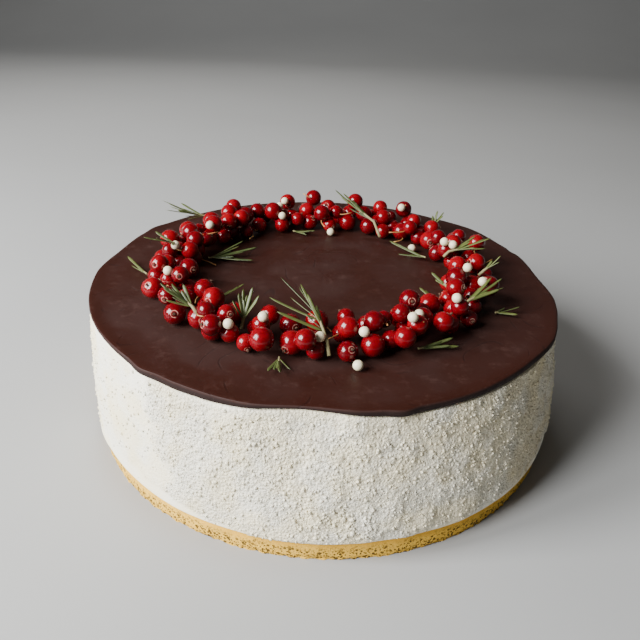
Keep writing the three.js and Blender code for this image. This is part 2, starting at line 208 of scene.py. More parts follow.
# %% Shader sums
class Wire:
    def __init__(self, finish, socket):
        self.finish, self.socket = finish, socket

    def math(self, operation, *values):
        node = self.finish.node("ShaderNodeMath", {"operation": operation})
        for socket, value in zip(node.inputs, values):
            self.finish.feed(socket, value)
        return Wire(self.finish, node.outputs[0])

    def __add__(self, other): return self.math("ADD", self, other)
    def __radd__(self, other): return self.math("ADD", other, self)
    def __sub__(self, other): return self.math("SUBTRACT", self, other)
    def __rsub__(self, other): return self.math("SUBTRACT", other, self)
    def __mul__(self, other): return self.math("MULTIPLY", self, other)
    def __rmul__(self, other): return self.math("MULTIPLY", other, self)
    def __truediv__(self, other): return self.math("DIVIDE", self, other)
    def __rtruediv__(self, other): return self.math("DIVIDE", other, self)
    def root(self): return self.math("SQRT", self)
    def sine(self): return self.math("SINE", self)
    def at_most(self, limit): return self.math("MINIMUM", self, limit)

    def between(self, low, high):
        node = self.finish.node("ShaderNodeMapRange", {"interpolation_type": "SMOOTHSTEP"},
                                {"Value": self, "From Min": low, "From Max": high})
        return Wire(self.finish, node.outputs["Result"])


print("a wire knows:", [name for name in vars(Wire) if not name.startswith("__")])

# %% [markdown]
# A `Finish` is one material. Its `node` adds any node: the settings are set first, and then the
# sockets get their values or wires. The other helpers are the few patterns that this cake needs.
# They could lie on UV maps, but food has no seams to unfold it by, so they are laid out in the
# piece's own space and stay on it wherever it goes.

# %% Finishes
class Finish:
    def __init__(self, name):
        self.material = bpy.data.materials.new(name)
        self.material.use_nodes = True
        self.tree = self.material.node_tree
        self.skin = self.tree.nodes["Principled BSDF"]

    def feed(self, socket, value):
        if isinstance(value, Wire):
            self.tree.links.new(value.socket, socket)
        elif isinstance(value, tuple) and len(value) == 3 and len(socket.default_value) == 4:
            socket.default_value = (*value, 1)
        else:
            socket.default_value = value

    def node(self, kind, settings=None, sockets=None):
        node = self.tree.nodes.new(kind)
        for key, value in (settings or {}).items():
            setattr(node, key, value)
        for key, value in (sockets or {}).items():
            self.feed(node.inputs[key], value)
        return node

    def out(self, node, key=0):
        return Wire(self, node.outputs[key])

    def place(self):
        return self.out(self.node("ShaderNodeTexCoord"), "Object")

    def along(self, axis):
        split = self.node("ShaderNodeSeparateXYZ", {}, {0: self.place()})
        return self.out(split, axis) / MM

    def noise(self, size, detail=3, roughness=0.55):
        sockets = {"Vector": self.place(), "Scale": 1 / (size * MM),
                   "Detail": detail, "Roughness": roughness}
        return self.out(self.node("ShaderNodeTexNoise", {}, sockets), "Fac")

    def cells(self, size):
        sockets = {"Vector": self.place(), "Scale": 1 / (size * MM)}
        return self.out(self.node("ShaderNodeTexVoronoi", {}, sockets), "Distance")

    def value(self, label):
        return self.out(self.node("ShaderNodeAttribute", {"attribute_name": label}), "Fac")

    def mix(self, share, first, second):
        node = self.node("ShaderNodeMix", {"data_type": "RGBA"})
        for socket, value in zip((node.inputs[0], node.inputs[6], node.inputs[7]),
                                 (share, first, second)):
            self.feed(socket, value)
        return Wire(self, node.outputs[2])

    def relief(self, height, depth, strength):
        sockets = {"Height": height, "Distance": depth * MM, "Strength": strength}
        return self.out(self.node("ShaderNodeBump", {}, sockets))

    def set(self, **sockets):
        for key, value in sockets.items():
            self.feed(self.skin.inputs[key.replace("_", " ")], value)


print("helpers of a finish:", [name for name in vars(Finish) if not name.startswith("__")])

# %% [markdown]
# ## The layers
# The cake's measures are the same as in the solids. The souffle and the chocolate sit a little off
# the axis of the sponge, as they do on a cake that was turned out of its ring and glazed by hand.
# The edge of the chocolate could be a plain wave, but a knife leaves bulges and nicks of its own,
# so each of them has its azimuth, its width and how far it reaches out. `thin_edge` says how much
# thinner the plate is at its rim.

# %% Measures of the layers
CHOCOLATE_RADIUS, CHOCOLATE_TOP, CHOCOLATE_THICKNESS = 110, 69, 3.2
SOUFFLE_TOP_RADIUS, SOUFFLE_FOOT_RADIUS = 109.3, 114.2
SPONGE_RADIUS, SPONGE_HEIGHT, GAP = 112.6, 12.4, 0.3
SOUFFLE_TOP = CHOCOLATE_TOP - CHOCOLATE_THICKNESS - GAP
TOP_SHIFT = np.array([-2.0, 1.0, 0.0])
EDGE_MARKS = [(170, 14, -1.7), (151, 6, 1.3), (41, 15, 2.6), (22, 3, -0.8), (6, 15, -2.2),
              (-28, 12, 1.4), (-74, 4, 1.3), (-92, 13, -2.2), (-127, 5, 1.2)]


def edge_reach(azimuth):
    reach = 0.8 * (lumps((azimuth + 360) / 15, 7, 24) - 0.5)
    for at, wide, out in EDGE_MARKS:
        reach = reach + out * hump(azimuth, at, wide)
    return reach


def thin_edge(azimuth):
    step = hump(azimuth, -92, 19) * ease(-71.5, -73.5, azimuth)
    return 1.1 * step + 1.8 * hump(azimuth, -154, 36) + 0.5 * lumps((azimuth + 360) / 20, 9, 18)


print("the chocolate's edge at the front reaches", round(float(edge_reach(-92)), 2), "mm out")

# %% [markdown]
# The souffle was stood in a ring and then dusted with its own crumbs. Its side is white and rough,
# like wet sand, and only the band just above the sponge stayed smooth. A bump in the finish would
# be less work, but would leave the outline smooth, so the relief is real geometry: a soft swell
# that the solid has as well, large and small stones over it, and flat patches that the hand wiped
# smooth, mostly on the left.

# %% The crumbs in numbers
CRUMB_SIZE, CRUMB_DEPTH, FOOT_ROUGHNESS = 6, 0.85, 0.25
LARGE_STONE, MIDDLE_STONE, SMALL_STONE = 3.4, 1.9, 1.15
FOOT_ARC = 2 * math.pi * SOUFFLE_FOOT_RADIUS


def stones_of(size, turn, z, salt=0):
    around = round(FOOT_ARC / size)
    return pebbles(turn * around, z / size, around, salt)


def crumbs(azimuth, z):
    turn = (azimuth + 360) / 360
    swell_cells = round(FOOT_ARC / CRUMB_SIZE)
    swell = CRUMB_DEPTH * (2 * lumps(turn * swell_cells, z / CRUMB_SIZE, swell_cells) - 1)
    foot = 6 * hump(azimuth, -138, 40) + 3.5 * hump(azimuth, -14, 42) + 2 * hump(azimuth, 110, 70)
    foot = foot - 2.6 + 3.6 * lumps(turn * 70, 0.5, 70) + 2.4 * lumps(turn * 210, 2.5, 210)
    rough = ease(-1.2, 1.6, z - SPONGE_HEIGHT - foot)
    patch = lumps(turn * 24, z / 22 + 3, 24) + 0.5 * lumps(turn * 70, z / 9, 70)
    wiped = ease(1.0, 1.4, patch + 0.95 * hump(azimuth, -148, 44))
    stones = 0.55 * stones_of(LARGE_STONE, turn, z)
    stones = stones * ease(0.45, 0.8, lumps(turn * 100, z / 7, 100))
    stones = stones + 0.75 * stones_of(MIDDLE_STONE, turn, z, 17)
    stones = stones + 0.50 * stones_of(SMALL_STONE, turn, z, 41)
    share = rough * (1 - 0.8 * wiped)
    swell = swell * (FOOT_ROUGHNESS + (1 - FOOT_ROUGHNESS) * rough) * (0.4 - 0.2 * wiped)
    # The second number is the share of crumbs, smaller on the tops of the stones. The finish sets
    # the bump strength by it and paints grey shade into the valleys with it.
    return swell + stones * share - 0.7 * share, share * (1 - 0.5 * ease(0.35, 1.15, stones))


print("share of crumbs at the front, foot to top:",
      [round(float(crumbs(-84.5, z)[1]), 2) for z in (13, 30, 60)])

# %% [markdown]
# The side leans in a little towards the top, where the ring was drawn off, and belly and edge come
# from the same sums as in the solid. Its lower edge hangs over the sponge, furthest at the left.
# The mesh is a stack of rings from the inside of that edge to the rim under the chocolate. A plain
# cylinder with a fine Displace modifier could carry the crumbs, but not the hanging edge.

# %% The souffle's side
AROUND_SOUFFLE, SIDE_STEPS = 1020, 84
LIP_HEIGHT, BELLY = 14, 0.8
bed = SPONGE_HEIGHT + GAP
inner_lip = SPONGE_RADIUS + 0.3 + GAP


def lip_drop(azimuth):
    return 0.5 + 1.4 * lumps((azimuth + 360) / 12, 3, 30) + 7 * hump(azimuth, 200, 18)


def side_place(azimuth, z, out):
    t = (z - SPONGE_HEIGHT) / (SOUFFLE_TOP - SPONGE_HEIGHT)
    slope = SOUFFLE_FOOT_RADIUS + (SOUFFLE_TOP_RADIUS - SOUFFLE_FOOT_RADIUS) * t
    drawn_in = np.minimum(0, edge_reach(azimuth)) * ease(SPONGE_HEIGHT, SOUFFLE_TOP, z)
    hang = (1 - ease(SPONGE_HEIGHT, SPONGE_HEIGHT + LIP_HEIGHT, z)) * lip_drop(azimuth)
    return slope + BELLY * np.sin(np.pi * t) + out + drawn_in, z - hang


azimuth = azimuths(AROUND_SOUFFLE)
side_z = np.linspace(SPONGE_HEIGHT, SOUFFLE_TOP - 0.6, SIDE_STEPS)[:, None]
relief, crumb_share_and_valley_shade = crumbs(azimuth[None, :], side_z)
radius, level = side_place(azimuth, side_z, relief)
side = on_circle(radius, azimuth, level + thin_edge(azimuth) * ease(50, SOUFFLE_TOP, side_z))
hem_z = SPONGE_HEIGHT - 0.2 - lip_drop(azimuth)
rings = np.array([on_circle(inner_lip, azimuth, bed), on_circle(inner_lip + 0.1, azimuth, hem_z),
                  on_circle(inner_lip + 0.6, azimuth, hem_z - 0.15), *side,
                  on_circle(SOUFFLE_TOP_RADIUS - 2.5, azimuth, SOUFFLE_TOP + thin_edge(azimuth))])
rings = rings + ease(bed, SOUFFLE_TOP, rings[..., 2:]) * TOP_SHIFT
share = np.concatenate([np.zeros((3, AROUND_SOUFFLE)), crumb_share_and_valley_shade,
                        np.zeros((1, AROUND_SOUFFLE))]).ravel()
souffle_points, souffle_faces = turned(rings)
souffle_crumb_and_valley_shade = np.concatenate([share, [0, 0]])
print("relief of the side:", [round(float(v), 2) for v in (relief.min(), relief.max())])

# %% [markdown]
# One plain white would look like plaster. The white of a souffle is warm, almost the colour of
# milk, with cooler and yellower patches, and grey is painted into the valleys between the crumbs as
# shade. Light goes into it, so it gets some subsurface scattering, and the grains that are finer
# than the mesh are a bump.

# %% The finish of the souffle
milk = Finish("souffle_milk_white")
grain = milk.noise(1.1, 4, 0.7)
drift = milk.noise(16, 2)
yellow_spots = milk.noise(24, 1).between(0.54, 0.72)
thick = milk.value("crumb")
white = milk.mix(drift.between(0.38, 0.62), (0.85, 0.815, 0.68), (0.87, 0.79, 0.57))
white = milk.mix(0.6 * yellow_spots, white, (0.84, 0.73, 0.44))
# Painted shade: grey in the valleys between the crumbs, where the crumb share is high and the fine
# grain dips.
white = milk.mix(thick * grain.between(0.62, 0.42) * 0.62, white, (0.42, 0.35, 0.24))
fine = milk.noise(1.0, 4, 0.75) * 1.3 - milk.cells(1.1) * 0.9
milk.set(Base_Color=white, Roughness=0.66 + 0.1 * grain, Specular_IOR_Level=0.3,
         Subsurface_Weight=0.05, Subsurface_Radius=(0.004, 0.003, 0.002), Subsurface_Scale=0.4,
         Normal=milk.relief(fine * (0.10 + 1.4 * thick), 0.8, 1.0))
make_piece("souffle_side", souffle_points, souffle_faces, milk, ["souffle"],
           {"crumb": souffle_crumb_and_valley_shade})

# %% [markdown]
# Loose crumbs stick to the rough part of the side and break up its outline. They could be scattered
# copies of one crumb, but one joined mesh keeps them when the model is carried elsewhere. Each is a
# ball of twenty faces, pulled out of shape, and a few large cream ones sit in a group at the front.

# %% Loose crumbs on the side
GOLD = (1 + math.sqrt(5)) / 2
BALL = np.array([(-1, GOLD, 0), (1, GOLD, 0), (-1, -GOLD, 0), (1, -GOLD, 0), (0, -1, GOLD),
                 (0, 1, GOLD), (0, -1, -GOLD), (0, 1, -GOLD), (GOLD, 0, -1), (GOLD, 0, 1),
                 (-GOLD, 0, -1), (-GOLD, 0, 1)]) / math.sqrt(1 + GOLD * GOLD)
BALL_FACES = np.array([(0, 11, 5), (0, 5, 1), (0, 1, 7), (0, 7, 10), (0, 10, 11), (1, 5, 9),
                       (5, 11, 4), (11, 10, 2), (10, 7, 6), (7, 1, 8), (3, 9, 4), (3, 4, 2),
                       (3, 2, 6), (3, 6, 8), (3, 8, 9), (4, 9, 5), (2, 4, 11), (6, 2, 10),
                       (8, 6, 7), (9, 8, 1)])
THROWN, STUCK, GROUPED = 26000, 9400, 60
GROUP_AZIMUTH, GROUP_HEIGHT = -84.5, 21
luck = np.random.default_rng(31)


def crumb_heap(azimuth, z, size):
    relief, _ = crumbs(azimuth, z)
    radius, level = side_place(azimuth, z, relief - 0.1 * size)
    centre = on_circle(radius, azimuth, level) + ease(bed, SOUFFLE_TOP, z)[:, None] * TOP_SHIFT
    spin = np.linalg.qr(luck.normal(size=(len(z), 3, 3)))[0]
    shape = BALL * luck.uniform(0.6, 1.2, (len(z), 1, 3)) * luck.uniform(0.8, 1.15, (len(z), 12, 1))
    points = centre[:, None] + np.einsum("nij,nkj->nki", spin, shape) * size[:, None, None]
    faces = BALL_FACES[None] + len(BALL) * np.arange(len(z))[:, None, None]
    return points.reshape(-1, 3), faces.reshape(-1, 3)


def facing_out(points, faces):
    corners = points[faces]
    middles = points.reshape(-1, len(BALL), 3).mean(1)
    outward = corners[:, 0] - np.repeat(middles, len(BALL_FACES), 0)
    normals = np.cross(corners[:, 1] - corners[:, 0], corners[:, 2] - corners[:, 0])
    inward = np.sum(normals * outward, 1) < 0
    return np.where(inward[:, None], faces[:, ::-1], faces)


tries_azimuth = luck.uniform(-180, 180, THROWN)
tries_z = luck.uniform(SPONGE_HEIGHT + 0.2, SOUFFLE_TOP - 1.2, THROWN)
_, share = crumbs(tries_azimuth, tries_z)
kept = np.flatnonzero(luck.uniform(0, 1, THROWN) < 0.03 + 0.75 * share)[:STUCK]
size = 0.32 + 0.62 * luck.uniform(0, 1, len(kept)) ** 2
group_azimuth = luck.normal(GROUP_AZIMUTH, 2.6, GROUPED)
group_z = np.clip(luck.normal(GROUP_HEIGHT, 3.2, GROUPED), 15.5, 30)
points, faces = crumb_heap(np.concatenate([tries_azimuth[kept], group_azimuth]),
                           np.concatenate([tries_z[kept], group_z]),
                           np.concatenate([size, luck.uniform(0.5, 1.15, GROUPED)]))
# The loose crumbs get a middle crumb share, and with it the same painted shade in their grain.
make_piece("souffle_crumbs", points, [facing_out(points, faces)], milk, (),
           {"crumb": np.full(len(points), 0.5)})

# %% [markdown]
# The sponge is a thin even sheet, cut with the ring. Its upper part was pressed and is smooth. The
# lower part is open and full of small dark holes that run together at the bottom edge, where crumbs
# have broken away. Cutting the holes with Booleans would take hundreds of balls, so the wall is
# drawn in wherever the pebbles leave a gap.

# %% The sponge
AROUND_SPONGE, HOLE_SIZE, HOLE_DEPTH, EDGE_INSET = 1400, 1.6, 0.75, 6
sponge_azimuth = np.arange(AROUND_SPONGE) * 360 / AROUND_SPONGE
turn = (sponge_azimuth + 360) / 360
arc = 2 * math.pi * SPONGE_RADIUS


def sponge_wall(z):
    uneven = 0.3 * (2 * lumps(turn * 72, z / 4, 72) - 1) * ease(0, 1, z)
    open_crumb = ease(9.5, 5, z + 3 * lumps(turn * 60, 1.5, 60) - 1.5)
    cells_wide = round(arc / HOLE_SIZE)
    hole = 1 - pebbles(turn * cells_wide, z / HOLE_SIZE, cells_wide, 5)
    deep = ease(0.62, 1.0, hole) * ease(0.35, 0.75, lumps(turn * 320, z / 2.2, 320))
    ragged = ease(2.4, 0.2, z) * 0.9 * lumps(turn * 420, z / 1.5, 420)
    return SPONGE_RADIUS + uneven - open_crumb * (HOLE_DEPTH * deep) - ragged, open_crumb * deep


sponge_z = np.concatenate([[0.0, 0.15], np.linspace(0.5, SPONGE_HEIGHT, 30)])
walls = [sponge_wall(z) for z in sponge_z]
sponge_rings = [on_circle(wall, sponge_azimuth, z) for (wall, _), z in zip(walls, sponge_z)]
sponge_holes = [holes for _, holes in walls]
sponge_rings = [on_circle(SPONGE_RADIUS - EDGE_INSET, sponge_azimuth, 0.0), *sponge_rings,
                on_circle(SPONGE_RADIUS - EDGE_INSET, sponge_azimuth, SPONGE_HEIGHT)]
sponge_points, sponge_faces = turned(np.array(sponge_rings))
zero = np.zeros(AROUND_SPONGE)
hole_values = np.concatenate([zero, *sponge_holes, zero, [0, 0]])
print("the sponge has", len(sponge_rings), "rings")

# %% [markdown]
# The pressed part is almost orange and the open part golden. Two materials would meet in a sharp
# line, so one material mixes them by height, with a noise that makes the border wander. Holes that
# are too small for the mesh are two sizes of cells, pushed in by the bump and darkened with painted
# shade. They get denser towards the foot. The holes drawn into the mesh are darkened with painted
# shade as well.

# %% The finish of the sponge
golden = Finish("sponge_golden_crumb")
height = golden.along("Z")
wave = golden.noise(9, 2)
crumb_part = (height + 7 * wave).between(13.2, 8.0)
bare = golden.mix(wave, (0.70, 0.360, 0.032), (0.76, 0.42, 0.046))
open_part = golden.mix(golden.noise(2.2, 4, 0.65), (0.52, 0.275, 0.030), (0.84, 0.53, 0.075))
body = golden.mix(crumb_part, bare, open_part)
lower = (height + 6 * golden.noise(4, 3)).between(11.5, 5.5)
pore = golden.cells(1.7).between(0.42, 0.33) * golden.noise(2.4, 2).between(0.42, 0.48)
tiny = golden.cells(1.0).between(0.42, 0.32) * golden.noise(1.8, 2).between(0.38, 0.46)
dark = ((pore + 0.9 * tiny) * (0.25 + 0.9 * lower)).at_most(1.0) * crumb_part
# Painted shade: the holes drawn into the mesh and the small pores are darkened.
holes = golden.value("hole")
body = golden.mix(0.9 * holes, body, (0.10, 0.05, 0.006))
body = golden.mix(0.92 * dark, body, (0.050, 0.026, 0.004))
surface = golden.noise(0.8, 4, 0.7) * crumb_part - 0.8 * dark
golden.set(Base_Color=body, Roughness=0.85, Specular_IOR_Level=0.2,
           Subsurface_Weight=0.05, Subsurface_Radius=(0.003, 0.0015, 0.0005),
           Normal=golden.relief(surface, 0.4, 0.8))
make_piece("sponge_layer", sponge_points, sponge_faces, golden, ["sponge_base"],
           {"hole": hole_values})

# %% [markdown]
# Dark chocolate was poured over the souffle and spread to the edge of the ring with a long knife.
# Its edge runs a little in and out and is rounded on top. A disc with a Bevel modifier would be
# rounded as well, but even all around, so the plate is one turned body: one ring beneath, a few
# rings for the edge, and many across the top, where they carry a low swell.

# %% The chocolate
AROUND_CHOCOLATE, RINGS_ACROSS = 720, 60
chocolate_azimuth = azimuths(AROUND_CHOCOLATE)
turn = (chocolate_azimuth + 360) / 360
reach = edge_reach(chocolate_azimuth) + 0.22 * (lumps(turn * 130, 0.5, 130) - 0.5)
underside = CHOCOLATE_TOP - CHOCOLATE_THICKNESS
lifted = thin_edge(chocolate_azimuth)
low_edge = underside + lifted + 0.3 * ease(0.45, 0.9, lumps(turn * 60, 3.5, 60))
rings = [on_circle(CHOCOLATE_RADIUS - EDGE_INSET, chocolate_azimuth, underside + lifted)]
edge_profile = [(-1.2, underside + lifted, 0), (-0.35, low_edge, 0.2),
                (-0.05, low_edge + 0.3, 0.6), (0.0, CHOCOLATE_TOP - 0.9, 0),
                (-0.10, CHOCOLATE_TOP - 0.60, 0), (-0.26, CHOCOLATE_TOP - 0.20, 0),
                (-0.62, CHOCOLATE_TOP - 0.05, 0)]
for inset, z, rough in edge_profile:
    wobble = rough * 0.3 * (lumps(turn * 210, 5.5, 210) - 0.5)
    rings.append(on_circle(CHOCOLATE_RADIUS + inset + wobble + reach, chocolate_azimuth, z))
for radius in np.linspace(CHOCOLATE_RADIUS - 2, 2, RINGS_ACROSS):
    swell = lumps(turn * 9 + radius / 40, radius / 13, 9) + 0.5 * lumps(turn * 24, radius / 6, 24)
    swell = swell * ease(CHOCOLATE_RADIUS - 2, CHOCOLATE_RADIUS - 7, radius)
    z = CHOCOLATE_TOP - 0.05 - 0.12 * swell
    rings.append(on_circle(radius + reach * ease(90, 110, radius), chocolate_azimuth, z))
chocolate_points, chocolate_faces = turned(np.array(rings))
print("the chocolate has", len(rings), "rings")

# %% [markdown]
# The plate has the satin shine of a glaze that set in the cold, with faint swirls where the knife
# turned, a few dull scuffs and fine crumbs. An even glossy brown would look like plastic. The
# swirls are waves over the distance from the middle, bent by a noise. The side of the plate is
# painted darker than its top as shade, and its rim is dull.

# %% The finish of the chocolate
glaze = Finish("dark_chocolate_glaze")
east, north = glaze.along("X"), glaze.along("Y")
far = (east * east + north * north).root()
swirl = glaze.noise(26, 3, 0.5)
stroke = (far * 0.16 + swirl * 14).sine()
sweep = (glaze.noise(38, 1, 0.3) * 70).sine()
mark = sweep.between(0.93, 1.0) * glaze.noise(17, 2).between(0.50, 0.62)
scuff = glaze.noise(5.5, 5, 0.7).between(0.52, 0.72)
dust = glaze.cells(2.6).between(0.13, 0.05) * glaze.noise(14, 1).between(0.5, 0.62)
wall = glaze.along("Z").between(CHOCOLATE_TOP - 0.35, CHOCOLATE_TOP - 0.9)
brown = glaze.mix(glaze.noise(30, 3), (0.0175, 0.0048, 0.0029), (0.0240, 0.0064, 0.0040))
brown = glaze.mix(scuff * 0.5, brown, (0.036, 0.0130, 0.0090))
brown = glaze.mix(mark * 0.5, brown, (0.010, 0.0032, 0.0024))
# Painted shade: the side of the plate is darker than its top.
brown = glaze.mix(wall * 0.75, brown, (0.010, 0.0031, 0.0023))
brown = glaze.mix(dust * 0.5, brown, (0.06, 0.032, 0.022))
rim = glaze.along("Z").between(CHOCOLATE_TOP - 0.02, CHOCOLATE_TOP - 0.3)
shine = 0.40 + 0.08 * stroke + 0.16 * scuff + 0.42 * rim
glaze.set(Base_Color=brown, Roughness=shine, Specular_IOR_Level=0.26,
          Normal=glaze.relief(stroke * 0.5 + glaze.noise(1.4, 4) * 0.25 - 0.8 * mark, 0.25, 0.35))
make_piece("chocolate_plate", chocolate_points + TOP_SHIFT, chocolate_faces, glaze,
           ["chocolate_top"])

# %% [markdown]
# ## The toppings
# Rosemary comes first, since the currants were laid around it. Each sprig is a fork that stands at
# an azimuth and a distance, a stem that heads off from it, and needles that leave the stem left and
# right in turn, wide at the foot and closer towards the tip. The sprigs could be thrown at random,
# but a garnish is laid by eye, so each has a line of its own. The solids were made from the same
# lines, so a sprig stays where its solid is.

# %% Where the sprigs lie
SPRIGS = [
    # azimuth, distance, height, heading, rise, stem, needles, length, spread, turn of the needles
    (143, 84, 9, -165, 14, 6, 6, 19, 50), (169, 60, 1.2, 12, 5, 4, 5, 22, 46),
    (-175, 71, 16, -150, 20, 3, 4, 12, 70), (-173, 85, 1.2, 133, 4, 3, 2, 17, 5),
    (-130, 80, 12, 150, 22, 3, 5, 14, 40), (-142, 58, 3, 57, 1, 3, 2, 14, 10),
    (-117, 69, 7, 75, 50, 2, 6, 12, 65), (-101, 80, 1.2, -90, 3, 3, 3, 12, 32),
    (-88, 76, 8, 108, 18, 14, 5, 24, -40, 36), (-60, 78, 1.2, 8, 6, 3, 4, 14, 12),
    (-27, 57, 2, 125, 5, 2, 3, 8, 24), (-23, 61, 8, 138, 20, 2, 2, 8, 10),
    (-33, 74, 9, 35, 12, 5, 5, 18, 20), (-24, 84, 1.2, 5, 3, 2, 3, 10, 40),
    (5, 61, 13, 5, 15, 5, 6, 16, 34), (44, 84, 6, 50, 40, 2, 4, 9, 40),
    (21, 56, 3, 145, 1, 3, 3, 19, 17), (60, 52, 12, 128, 12, 13, 5, 23, 9),
    (109, 57, 1.2, -28, 3, 2, 3, 12, 30), (-8, 76, 11, 5, 38, 2, 3, 8, 40)]
NEEDLE_LIFTS = (-4, 3, 10)


def direction(heading, rise):
    a, b = math.radians(heading), math.radians(rise)
    return np.array([math.cos(a) * math.cos(b), math.sin(a) * math.cos(b), math.sin(b)])


def lay_out(at, far, up, turn, rise, stem, needles, long, spread, fan=0):
    fork = direction(at, 0) * far + (0, 0, CHOCOLATE_TOP + up)
    along = direction(turn, rise)
    leaves = []
    for n in range(needles):
        share = n / (needles - 1)
        heading = turn + fan + (1 if n % 2 == 0 else -1) * spread * (1 - 0.8 * share)
        reach = long * (0.75 + 0.25 * share)
        foot = fork + along * stem * (0.15 + 0.8 * share)
        leaves.append((foot, heading, rise + NEEDLE_LIFTS[n % 3], reach))
    return fork, along, leaves


layouts = [lay_out(*sprig) for sprig in SPRIGS]
print(len(layouts), "sprigs with", sum(len(leaves) for _, _, leaves in layouts), "main needles")

# %% [markdown]
# The ring that the currants fill is wider in some places than in others, so its inner and outer
# limits are given for eight azimuths and eased in between. A currant may not squash a needle.
# Testing one mesh against another would be exact but slow, and a needle is thin enough to count as
# a straight line: `leaves_room` finds how near the closest one comes.

# %% The ring and its free places
WREATH_INNER = [60, 61, 57, 60, 63, 64, 56, 59]
WREATH_OUTER = [79, 80, 79, 80, 80, 86, 81, 78]
NEEDLE_ROOM = 1.4


def around_wreath(limits, azimuth):
    place = azimuth % 360 / (360 / len(limits))
    first = int(place) % len(limits)
    t = float(ease(0, 1, place - int(place)))
    return limits[first] * (1 - t) + limits[(first + 1) % len(limits)] * t


segments = []
for sprig, (fork, along, leaves) in zip(SPRIGS, layouts):
    segments.append((fork, fork + along * sprig[5]))
    segments += [(foot, foot + direction(heading, rise) * reach)
                 for foot, heading, rise, reach in leaves]
starts = np.array([a for a, _ in segments])
spans = np.array([b - a for a, b in segments])


def leaves_room(x, y, z, radius):
    centre = np.array([x, y, z])
    t = np.clip(((centre - starts) * spans).sum(1) / (spans ** 2).sum(1), 0, 1)
    gaps = np.linalg.norm(starts + spans * t[:, None] - centre, axis=1)
    return gaps.min() > radius + NEEDLE_ROOM


print("the ring at the front is", round(around_wreath(WREATH_OUTER, -90)
                                        - around_wreath(WREATH_INNER, -90), 1), "mm wide")

# %% [markdown]
# The currants were dropped by hand. Each one rests on the chocolate or on the berries below it, and
# takes the lowest of a few places, as a berry rolls until it finds a hollow. Rigid body physics
# could drop them as well, but every berry has to lie where its solid lies, and this short rule is
# the one that the solids follow. The pearls were scattered last, so they lie on top, and each one
# has its own azimuth and distance.

# %% Where the currants and pearls rest
CURRANTS, PLACES_TRIED, BERRY_LEAST, BERRY_MORE = 153, 26, 3.7, 1.3
BERRY_FLOOR = CHOCOLATE_TOP + GAP
PEARL_RADIUS = 2.1
PEARLS = [(161.5, 62), (-175.5, 71), (-156.5, 75), (-116, 81), (-107.5, 74), (115, 58), (113, 69),
          (110, 71), (87, 52), (-90, 76), (-80, 85), (-77, 75), (-62.5, 77), (-56.5, 71),
          (-42.5, 75), (-21.5, 76), (-17.5, 68), (35.5, 57), (8, 59), (6.5, 63), (55, 73)]


def rest_on(balls, count, x, y, radius):
    placed = balls[:count]
    touch = (radius + placed[:, 3]) ** 2
    across = (x - placed[:, 0]) ** 2 + (y - placed[:, 1]) ** 2
    under = across < touch
    heights = placed[under, 2] + np.sqrt(touch[under] - across[under])
    return max(BERRY_FLOOR + radius, heights.max() if len(heights) else 0)


def drop_berries():
    throw = repeatable(27207)
    balls = np.zeros((CURRANTS + len(PEARLS), 4))
    count = 0
    for _ in range(CURRANTS):
        radius = BERRY_LEAST + BERRY_MORE * next(throw)
        best = None
        for _ in range(PLACES_TRIED):
            azimuth = 360 * next(throw)
            inner = around_wreath(WREATH_INNER, azimuth)
            outer = around_wreath(WREATH_OUTER, azimuth)
            x, y, _ = direction(azimuth, 0) * (inner + (outer - inner) * next(throw))
            z = rest_on(balls, count, x, y, radius)
            if (best is None or z < best[2]) and leaves_room(x, y, z, radius):
                best = (x, y, z, radius)
        if best:
            balls[count] = best
            count += 1
    berries = count
    for azimuth, far in PEARLS:
        x, y, _ = direction(azimuth, 0) * far
        balls[count] = (x, y, rest_on(balls, count, x, y, PEARL_RADIUS), PEARL_RADIUS)
        count += 1
    return balls[:berries], balls[berries:count]


berries, pearls = drop_berries()
print(len(berries), "currants up to", round(float((berries[:, 2] + berries[:, 3]).max()), 1), "mm")

# %% [markdown]
# A wreath has hundreds of berries, petals and needles. As objects of their own they would be slow
# to handle, so each kind is joined into one mesh and laid on the chocolate. Most of them grow along
# an axis, and `any_frame` finds two directions at right angles to it.

# %% One mesh for each kind of topping
def lay_on_top(name, parts, finish, replaced=(), values=None):
    points, faces, count = [], [], 0
    for part_points, part_faces in parts:
        points.append(part_points + TOP_SHIFT)
        faces += [group + count for group in part_faces]
        count += len(part_points)
    make_piece(name, np.concatenate(points), faces, finish, replaced, values)


def any_frame(axis):
    side = np.cross(axis, (0, 0, 1) if abs(axis[2]) < 0.9 else (1, 0, 0))
    side = side / np.linalg.norm(side)
    return side, np.cross(axis, side)


print("two sides of an upright stalk:", [v.tolist() for v in any_frame(np.array([0, 0, 1]))])

# %% [markdown]
# Each currant is a ball with its own tilt, tone and a slight squash, dented around the dried flower
# at the pole that faces away from the stalk. Blender's own sphere would be even, and its poles
# would all point up, so the balls are drawn here. Three numbers travel with the points: the tone of
# the berry, how far a point is from the flower, and the fine pale lines from pole to pole.

# %% The currants
BERRY_AROUND, BERRY_ROWS, VEINS = 24, 18, 8
throw = repeatable(4711)


def flower_side(x, y):
    outward = math.degrees(math.atan2(y, x)) + 150 * (next(throw) - 0.5)
    if next(throw) < 0.3:
        outward += 180
    return direction(outward, -25 + 75 * next(throw))


